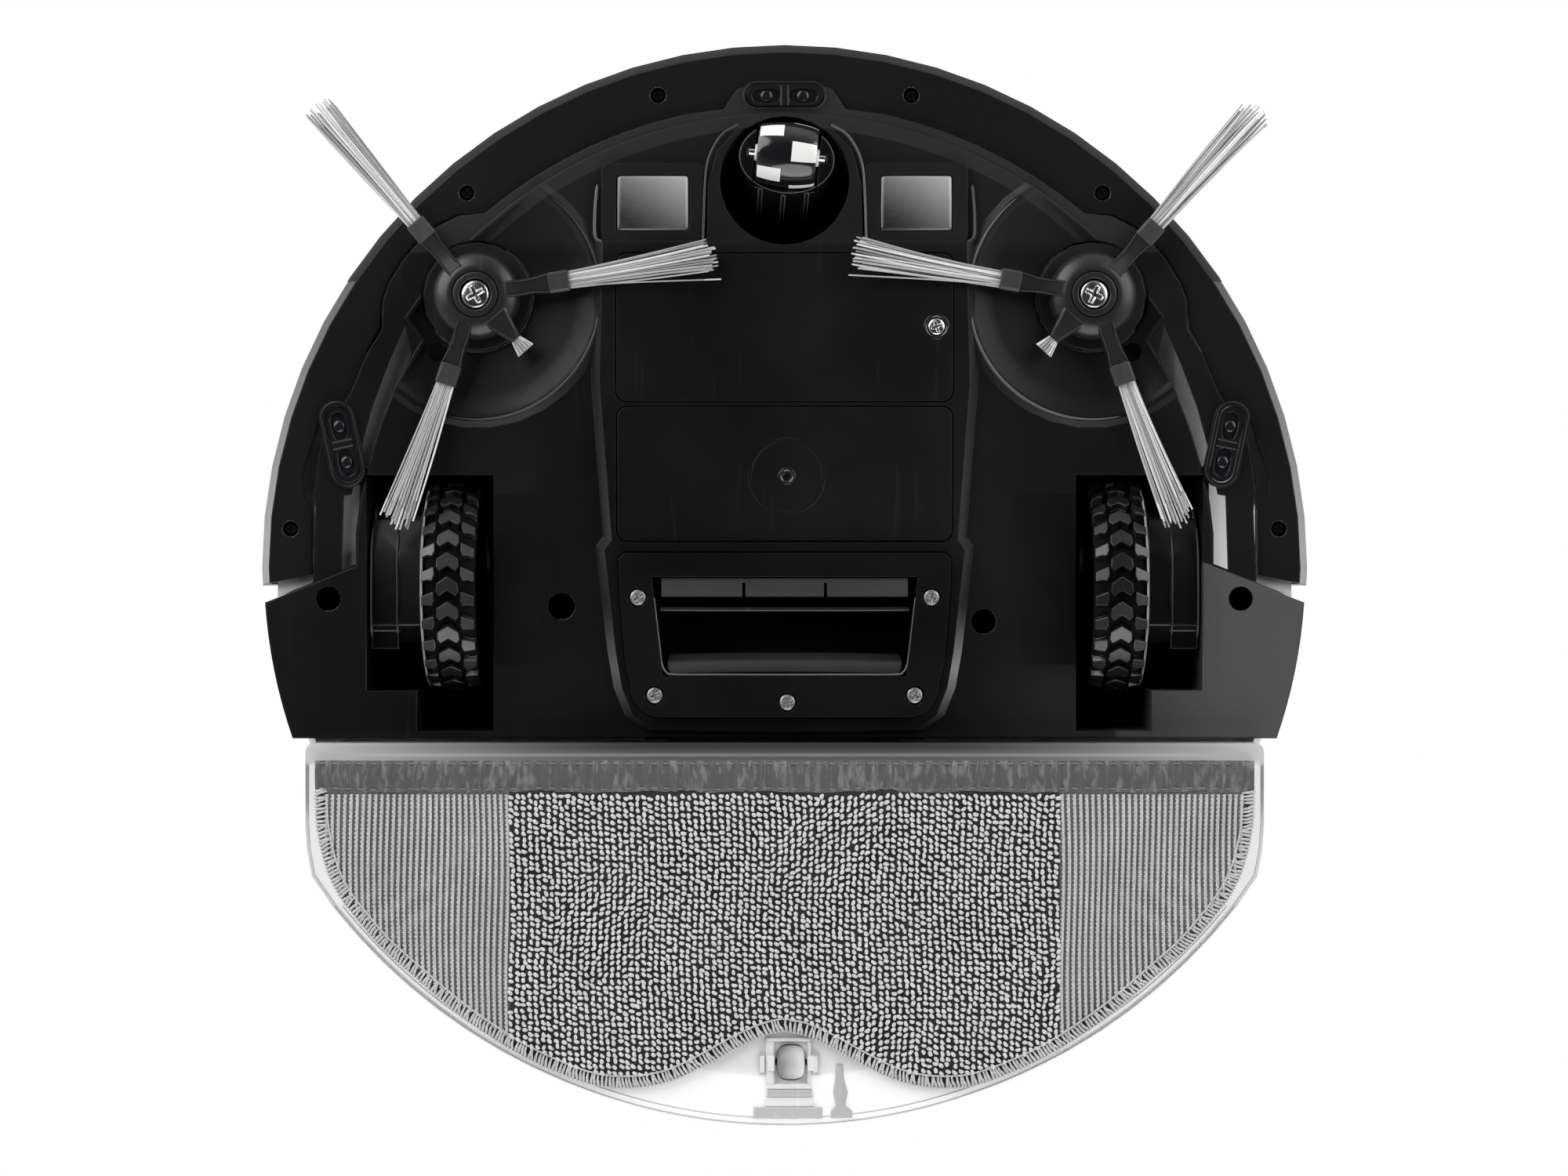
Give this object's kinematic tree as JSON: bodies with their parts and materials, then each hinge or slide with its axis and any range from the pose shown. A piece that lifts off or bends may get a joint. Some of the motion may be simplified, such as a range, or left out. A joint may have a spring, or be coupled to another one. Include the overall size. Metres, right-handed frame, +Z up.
{
  "type": "robot vacuum",
  "caption": "Round robot vacuum with sprung bumper, drive wheels on swing arms, swivel caster, side brushes, suction inlet and a slide-out clear water tank with mop cloth.",
  "frame": {"origin": "on the floor under the middle of the bounding box", "axes": "+Z up; -Y is the robot's front; +X is the side on the right when the underside is seen with the front at the top"},
  "size_m": [0.324, 0.3312, 0.0804],
  "materials": {
    "black_abs": "fine-textured black ABS",
    "satin_abs": "satin black ABS",
    "white_shell": "gloss white ABS",
    "smoked_window": "polished infrared-passing black acrylic",
    "button_grey": "satin light grey plastic",
    "circuit_board": "green solder mask",
    "bright_steel": "bright plated steel",
    "zinc_screw": "zinc-plated steel",
    "dark_screw": "blackened steel",
    "spring_steel": "drawn spring wire",
    "contact_steel": "polished nickel-plated steel",
    "grey_rubber": "grey silicone rubber",
    "sensor_black": "gloss black lens plastic",
    "caster_plastic": "gloss black plastic with white patches",
    "brush_rubber": "soft black plastic",
    "bristle_grey": "light grey nylon bristle",
    "tyre_rubber": "moulded black rubber",
    "cell_wrap": "blue heat-shrink wrap",
    "clear_tank": "clear polycarbonate",
    "tank_grey": "grey plastic",
    "filter_white": "pleated white filter paper",
    "mop_cloth": "grey microfibre loop cloth"
  },
  "bodies": {
    "chassis": {"chassis_base": "black_abs", "mid_frame": "white_shell", "top_cover": "white_shell", "battery_cover": "black_abs", "battery_cover_screw": "bright_steel", "duct_cover": "black_abs", "duct_cover_screw": "dark_screw", "inlet_frame": "satin_abs", "battery_pack": "cell_wrap", "main_board": "circuit_board", "button_board": "circuit_board", "fan_housing": "satin_abs", "fan_motor": "bright_steel", "cliff_sensor_front": "sensor_black", "inlet_screw_1": "zinc_screw", "inlet_screw_2": "zinc_screw", "inlet_screw_3": "zinc_screw", "inlet_screw_4": "zinc_screw", "inlet_screw_5": "zinc_screw", "charge_contact_left": "contact_steel", "cliff_sensor_left": "sensor_black", "side_brush_motor_left": "black_abs", "bumper_spring_left": "spring_steel", "suspension_spring_left": "spring_steel", "charge_contact_right": "contact_steel", "cliff_sensor_right": "sensor_black", "side_brush_motor_right": "black_abs", "bumper_spring_right": "spring_steel", "suspension_spring_right": "spring_steel"},
    "bumper": {"bumper_shell": "white_shell", "bumper_window": "smoked_window"},
    "caster": {"caster_fork": "black_abs", "caster_axle": "bright_steel"},
    "caster_roller": {"caster_wheel": "caster_plastic"},
    "fan_wheel": {"impeller": "satin_abs"},
    "dirt_flap": {"inlet_flap": "grey_rubber"},
    "tank": {"tank_shell": "clear_tank", "tank_lid": "tank_grey", "dust_filter": "filter_white", "mop_pad": "mop_cloth", "tank_roller_axle": "bright_steel"},
    "filler_plug": {"water_plug": "grey_rubber"},
    "support_roller": {"tank_roller": "grey_rubber"},
    "latch": {"tank_latch": "tank_grey"},
    "power_key": {"power_button": "button_grey"},
    "home_key": {"home_button": "button_grey"},
    "arm_left": {"gearbox_left": "satin_abs", "wheel_motor_left": "bright_steel"},
    "wheel_left": {"wheel_hub_left": "black_abs", "tyre_left": "tyre_rubber"},
    "brush_left": {"side_brush_hub_left": "brush_rubber", "side_brush_screw_left": "bright_steel", "side_brush_bristles_left": "bristle_grey"},
    "arm_right": {"gearbox_right": "satin_abs", "wheel_motor_right": "bright_steel"},
    "wheel_right": {"wheel_hub_right": "black_abs", "tyre_right": "tyre_rubber"},
    "brush_right": {"side_brush_hub_right": "brush_rubber", "side_brush_screw_right": "bright_steel", "side_brush_bristles_right": "bristle_grey"}
  },
  "joints": [
    {"name": "bumper_press", "type": "slide", "parent": "chassis", "child": "bumper", "axis": [0, 1, 0], "range_m": [0, 0.0025], "stiffness_N_per_m": 600, "deforming": ["bumper_spring_left", "bumper_spring_right"]},
    {"name": "suspension_left", "type": "hinge", "parent": "chassis", "child": "arm_left", "pos_m": [-0.119, -0.0178, 0.03], "axis": [-1, 0, 0], "range_deg": [0, 20], "deforming": ["suspension_spring_left"]},
    {"name": "wheel_spin_left", "type": "hinge", "parent": "arm_left", "child": "wheel_left", "pos_m": [-0.102, 0.0022, 0.0332], "axis": [1, 0, 0], "continuous": true},
    {"name": "side_brush_spin_left", "type": "hinge", "parent": "chassis", "child": "brush_left", "pos_m": [-0.094, -0.0866, 0.008], "axis": [0, 0, 1], "continuous": true},
    {"name": "suspension_right", "type": "hinge", "parent": "chassis", "child": "arm_right", "pos_m": [0.119, -0.0178, 0.03], "axis": [-1, 0, 0], "range_deg": [0, 20], "deforming": ["suspension_spring_right"]},
    {"name": "wheel_spin_right", "type": "hinge", "parent": "arm_right", "child": "wheel_right", "pos_m": [0.102, 0.0022, 0.0332], "axis": [1, 0, 0], "continuous": true},
    {"name": "side_brush_spin_right", "type": "hinge", "parent": "chassis", "child": "brush_right", "pos_m": [0.094, -0.0866, 0.008], "axis": [0, 0, 1], "continuous": true},
    {"name": "caster_swivel", "type": "hinge", "parent": "chassis", "child": "caster", "pos_m": [0, -0.1218, 0.03], "axis": [0, 0, 1], "continuous": true},
    {"name": "caster_roll", "type": "hinge", "parent": "caster", "child": "caster_roller", "pos_m": [0.00073, -0.12937, 0.01], "axis": [0.9954, 0.0958, 0], "continuous": true},
    {"name": "fan_spin", "type": "hinge", "parent": "chassis", "child": "fan_wheel", "pos_m": [0, 0.012, 0.05], "axis": [0, 0, 1], "continuous": true},
    {"name": "dirt_flap_swing", "type": "hinge", "parent": "chassis", "child": "dirt_flap", "pos_m": [0, 0, 0.01], "axis": [1, 0, 0], "range_deg": [0, 20], "stiffness_Nm_per_rad": 0.004},
    {"name": "tank_slide", "type": "slide", "parent": "chassis", "child": "tank", "axis": [0, 1, 0], "range_m": [0, 0.12]},
    {"name": "filler_plug_hinge", "type": "hinge", "parent": "tank", "child": "filler_plug", "pos_m": [-0.1092, 0.09, 0.0468], "axis": [0, -1, 0], "range_deg": [0, 95]},
    {"name": "support_roller_spin", "type": "hinge", "parent": "tank", "child": "support_roller", "pos_m": [0.0019, 0.1464, 0.0054], "axis": [1, 0, 0], "continuous": true},
    {"name": "latch_press", "type": "slide", "parent": "tank", "child": "latch", "axis": [0, -1, 0], "range_m": [0, 0.0012], "stiffness_N_per_m": 300},
    {"name": "power_press", "type": "slide", "parent": "chassis", "child": "power_key", "axis": [0, 0, -1], "range_m": [0, 0.0008], "stiffness_N_per_m": 400},
    {"name": "home_press", "type": "slide", "parent": "chassis", "child": "home_key", "axis": [0, 0, -1], "range_m": [0, 0.0008], "stiffness_N_per_m": 400}
  ]
}
